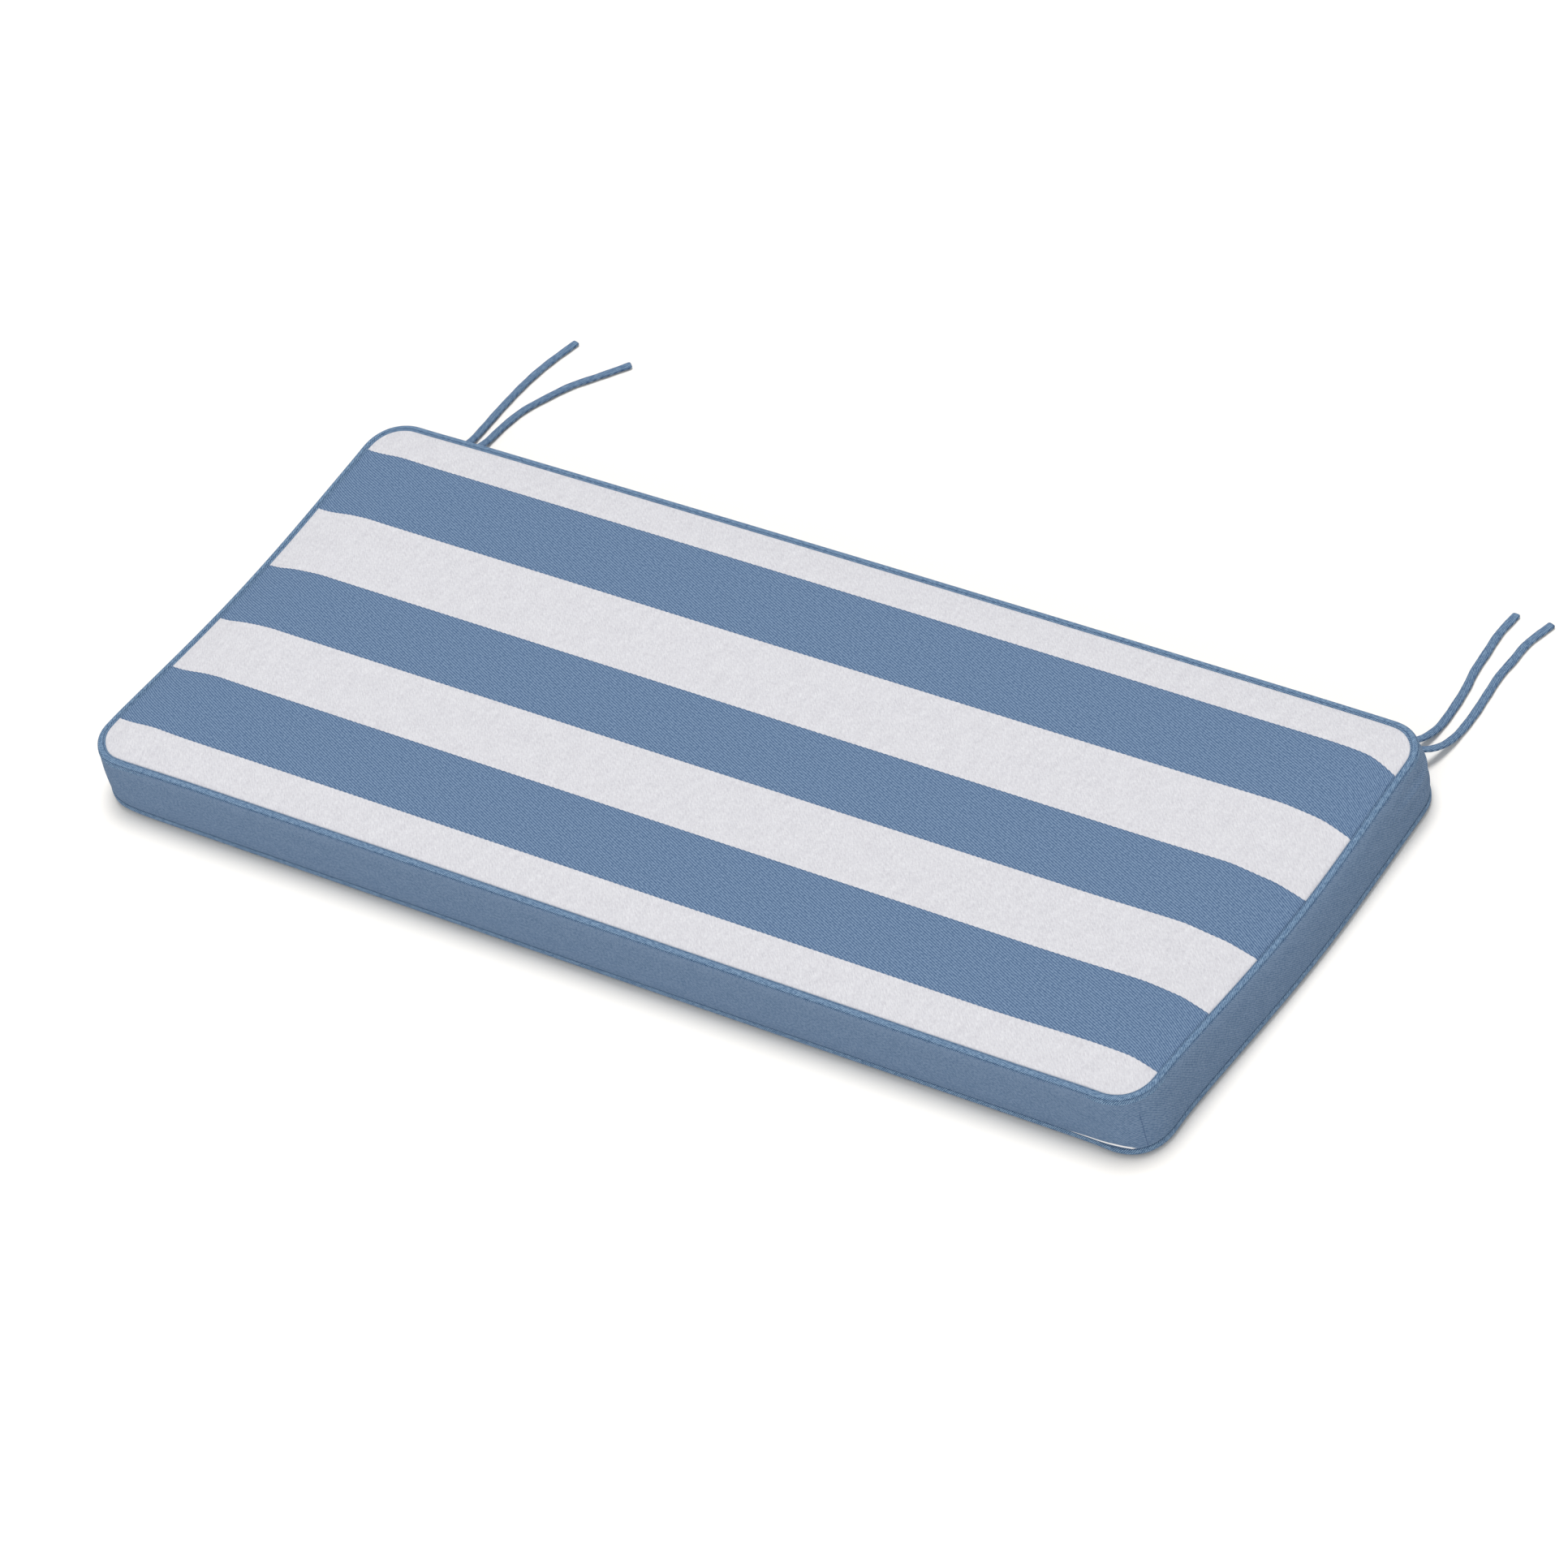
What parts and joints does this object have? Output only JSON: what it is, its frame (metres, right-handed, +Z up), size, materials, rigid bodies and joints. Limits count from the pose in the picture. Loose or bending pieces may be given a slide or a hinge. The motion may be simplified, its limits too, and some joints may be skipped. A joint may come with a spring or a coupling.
{
  "type": "bench cushion",
  "caption": "Long boxed bench cushion with a striped top, a plain boxing band, welted seams and pairs of flat ties at the back edge.",
  "frame": {"origin": "middle of the cushion's box on its flat underside", "axes": "+X along the cushion's length, +Y to the back edge where the ties are sewn on, +Z up through the crown"},
  "size_m": [1.1307, 0.6667, 0.065],
  "materials": {
    "striped_cover": "woven cloth in wide blue and off-white stripes, with a plain blue boxing band",
    "welt_cloth": "blue twill cut on the bias over a cord",
    "tie_cloth": "blue twill folded and sewn into a flat strip"
  },
  "bodies": {
    "root": {"cushion": "striped_cover", "welt_top": "welt_cloth", "welt_bottom": "welt_cloth", "tie_left_outer": "tie_cloth", "tie_left_inner": "tie_cloth", "tie_right_inner": "tie_cloth", "tie_right_outer": "tie_cloth"}
  },
  "joints": []
}
